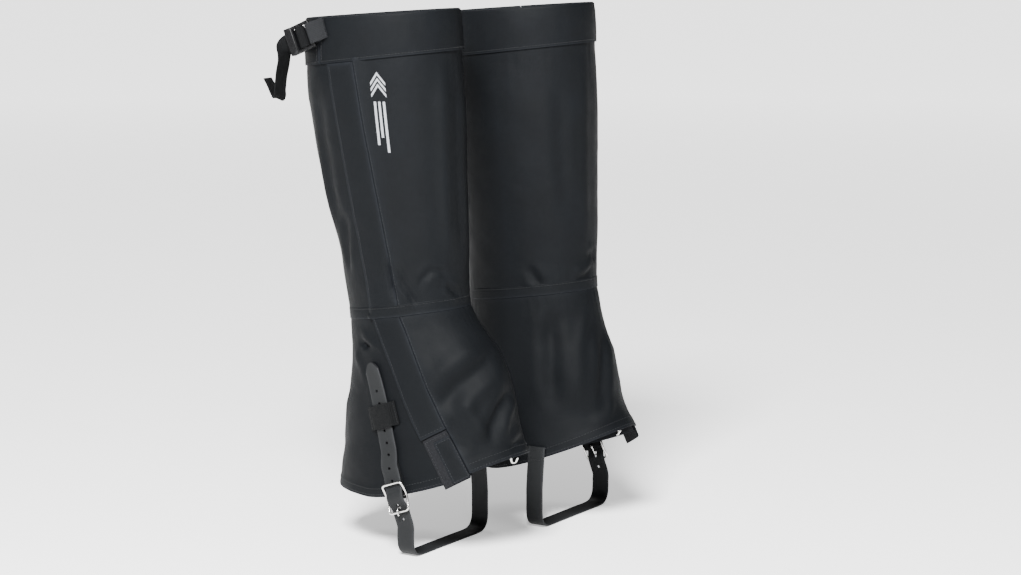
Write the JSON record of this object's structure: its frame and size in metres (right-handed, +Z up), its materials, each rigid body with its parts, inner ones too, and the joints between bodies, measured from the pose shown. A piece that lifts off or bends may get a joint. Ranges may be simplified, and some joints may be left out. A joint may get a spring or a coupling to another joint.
{
  "type": "hiking gaiters",
  "caption": "Pair of knee-high fabric hiking gaiters with hook-and-loop side closures, collar straps with ladder locks, and buckled straps that pass under the boots.",
  "frame": {"origin": "on the floor, at the centre of the pair's bounding box", "axes": "+Z up; the wearer faces -Y; the right gaiter is on the -X side and the left gaiter on the +X side"},
  "size_m": [0.3124, 0.2767, 0.521],
  "materials": {
    "shell_fabric": "coated dark grey woven nylon, slightly sheened",
    "binding": "dark grey folded hem tape",
    "webbing": "ribbed black nylon webbing",
    "hook_tape": "black hook tape, fine stiff hooks",
    "loop_tape": "black brushed loop tape, matte and fuzzy",
    "strap_rubber": "dark grey coated strap, satin",
    "lock_plastic": "black moulded acetal, slightly glossy",
    "buckle_metal": "nickel plated wire"
  },
  "bodies": {
    "gaiter_pair": {"right_upper_front_panel": "shell_fabric", "right_upper_back_panel": "shell_fabric", "right_lower_front_panel": "shell_fabric", "right_lower_back_panel": "shell_fabric", "right_mid_seam": "shell_fabric", "right_hem": "binding", "right_collar_front": "shell_fabric", "right_collar_back": "shell_fabric", "right_upper_loop_tape": "loop_tape", "right_lower_loop_tape": "loop_tape", "right_hem_loop_patch": "loop_tape", "right_buckle_loop": "webbing", "right_collar_strap": "webbing", "right_instep_strap": "strap_rubber", "right_sole_strap_end": "strap_rubber", "right_keeper": "webbing", "right_buckle_tab": "webbing", "right_lace_hook_tab": "webbing", "left_upper_front_panel": "shell_fabric", "left_upper_back_panel": "shell_fabric", "left_lower_front_panel": "shell_fabric", "left_lower_back_panel": "shell_fabric", "left_mid_seam": "shell_fabric", "left_hem": "binding", "left_collar_front": "shell_fabric", "left_collar_back": "shell_fabric", "left_upper_loop_tape": "loop_tape", "left_lower_loop_tape": "loop_tape", "left_hem_loop_patch": "loop_tape", "left_buckle_loop": "webbing", "left_collar_strap": "webbing", "left_instep_strap": "strap_rubber", "left_sole_strap_end": "strap_rubber", "left_keeper": "webbing", "left_buckle_tab": "webbing", "left_lace_hook_tab": "webbing"},
    "right_upper_flap": {"right_upper_flap": "shell_fabric", "right_upper_hook_tape": "hook_tape"},
    "right_lower_flap": {"right_lower_flap": "shell_fabric", "right_lower_hook_tape": "hook_tape"},
    "right_hem_tab": {"right_hem_tab": "shell_fabric"},
    "right_ladder_lock": {"right_ladder_lock": "lock_plastic", "right_lock_webbing": "webbing"},
    "right_strap_tail": {"right_strap_tail": "webbing"},
    "right_instep_buckle": {"right_buckle_frame": "buckle_metal"},
    "right_buckle_prong": {"right_buckle_prong": "buckle_metal"},
    "right_sole_strap": {"right_sole_strap": "strap_rubber"},
    "right_lace_hook": {"right_lace_hook": "buckle_metal"},
    "left_upper_flap": {"left_upper_flap": "shell_fabric", "left_upper_hook_tape": "hook_tape"},
    "left_lower_flap": {"left_lower_flap": "shell_fabric", "left_lower_hook_tape": "hook_tape"},
    "left_hem_tab": {"left_hem_tab": "shell_fabric"},
    "left_ladder_lock": {"left_ladder_lock": "lock_plastic", "left_lock_webbing": "webbing"},
    "left_strap_tail": {"left_strap_tail": "webbing"},
    "left_instep_buckle": {"left_buckle_frame": "buckle_metal"},
    "left_buckle_prong": {"left_buckle_prong": "buckle_metal"},
    "left_sole_strap": {"left_sole_strap": "strap_rubber"},
    "left_lace_hook": {"left_lace_hook": "buckle_metal"}
  },
  "joints": [
    {"name": "right_upper_flap_peel", "type": "hinge", "parent": "gaiter_pair", "child": "right_upper_flap", "pos_m": [-0.14033, 0.01325, 0.35206], "axis": [-0.0615, 0.1714, 0.9833], "range_deg": [0, 110]},
    {"name": "right_lower_flap_peel", "type": "hinge", "parent": "gaiter_pair", "child": "right_lower_flap", "pos_m": [-0.13469, -0.03569, 0.17656], "axis": [0.0134, 0.4672, 0.8841], "range_deg": [0, 100]},
    {"name": "right_hem_tab_peel", "type": "hinge", "parent": "gaiter_pair", "child": "right_hem_tab", "pos_m": [-0.13051, -0.07616, 0.102], "axis": [-0.0758, 0.5033, 0.8608], "range_deg": [0, 120]},
    {"name": "right_ladder_lock_tilt", "type": "hinge", "parent": "gaiter_pair", "child": "right_ladder_lock", "pos_m": [-0.146, 0.0817, 0.4974], "axis": [0, 0.3843, 0.9232], "range_deg": [-10, 45]},
    {"name": "right_strap_tail_swing", "type": "hinge", "parent": "right_ladder_lock", "child": "right_strap_tail", "pos_m": [-0.1432, 0.10737, 0.48672], "axis": [0, 0.3843, 0.9232], "range_deg": [-10, 50]},
    {"name": "right_instep_buckle_tilt", "type": "hinge", "parent": "gaiter_pair", "child": "right_instep_buckle", "pos_m": [-0.14769, -0.0152, 0.0575], "axis": [0, 0.9455, -0.3256], "range_deg": [-4, 4]},
    {"name": "right_buckle_prong_lift", "type": "hinge", "parent": "right_instep_buckle", "child": "right_buckle_prong", "pos_m": [-0.14769, -0.0152, 0.0575], "axis": [0, 0.9455, -0.3256], "range_deg": [0, 14]},
    {"name": "right_sole_strap_swing", "type": "hinge", "parent": "gaiter_pair", "child": "right_sole_strap", "pos_m": [-0.0818, -0.02464, 0.03008], "axis": [1, 0, 0], "range_deg": [-30, 35]},
    {"name": "right_lace_hook_swing", "type": "hinge", "parent": "gaiter_pair", "child": "right_lace_hook", "pos_m": [-0.082, -0.10471, 0.108], "axis": [1, 0, 0], "range_deg": [0, 60]},
    {"name": "left_upper_flap_peel", "type": "hinge", "parent": "gaiter_pair", "child": "left_upper_flap", "pos_m": [0.13989, -0.03622, 0.35206], "axis": [-0.0683, -0.1557, -0.9854], "range_deg": [0, 110]},
    {"name": "left_lower_flap_peel", "type": "hinge", "parent": "gaiter_pair", "child": "left_lower_flap", "pos_m": [0.12706, -0.08273, 0.17656], "axis": [-0.0906, -0.4568, -0.8849], "range_deg": [0, 100]},
    {"name": "left_hem_tab_peel", "type": "hinge", "parent": "gaiter_pair", "child": "left_hem_tab", "pos_m": [0.11689, -0.12162, 0.102], "axis": [-0.0513, -0.4902, -0.8701], "range_deg": [0, 120]},
    {"name": "left_ladder_lock_tilt", "type": "hinge", "parent": "gaiter_pair", "child": "left_ladder_lock", "pos_m": [0.146, 0.02976, 0.4974], "axis": [0, -0.3843, -0.9232], "range_deg": [-10, 45]},
    {"name": "left_strap_tail_swing", "type": "hinge", "parent": "left_ladder_lock", "child": "left_strap_tail", "pos_m": [0.1432, 0.05543, 0.48672], "axis": [0, -0.3843, -0.9232], "range_deg": [-10, 50]},
    {"name": "left_instep_buckle_tilt", "type": "hinge", "parent": "gaiter_pair", "child": "left_instep_buckle", "pos_m": [0.14763, -0.05946, 0.0575], "axis": [0, -0.9455, 0.3256], "range_deg": [-4, 4]},
    {"name": "left_buckle_prong_lift", "type": "hinge", "parent": "left_instep_buckle", "child": "left_buckle_prong", "pos_m": [0.14763, -0.05946, 0.0575], "axis": [0, -0.9455, 0.3256], "range_deg": [0, 14]},
    {"name": "left_sole_strap_swing", "type": "hinge", "parent": "gaiter_pair", "child": "left_sole_strap", "pos_m": [0.08177, -0.0689, 0.03008], "axis": [1, 0, 0], "range_deg": [-30, 35]},
    {"name": "left_lace_hook_swing", "type": "hinge", "parent": "gaiter_pair", "child": "left_lace_hook", "pos_m": [0.082, -0.12577, 0.108], "axis": [1, 0, 0], "range_deg": [0, 60]}
  ]
}
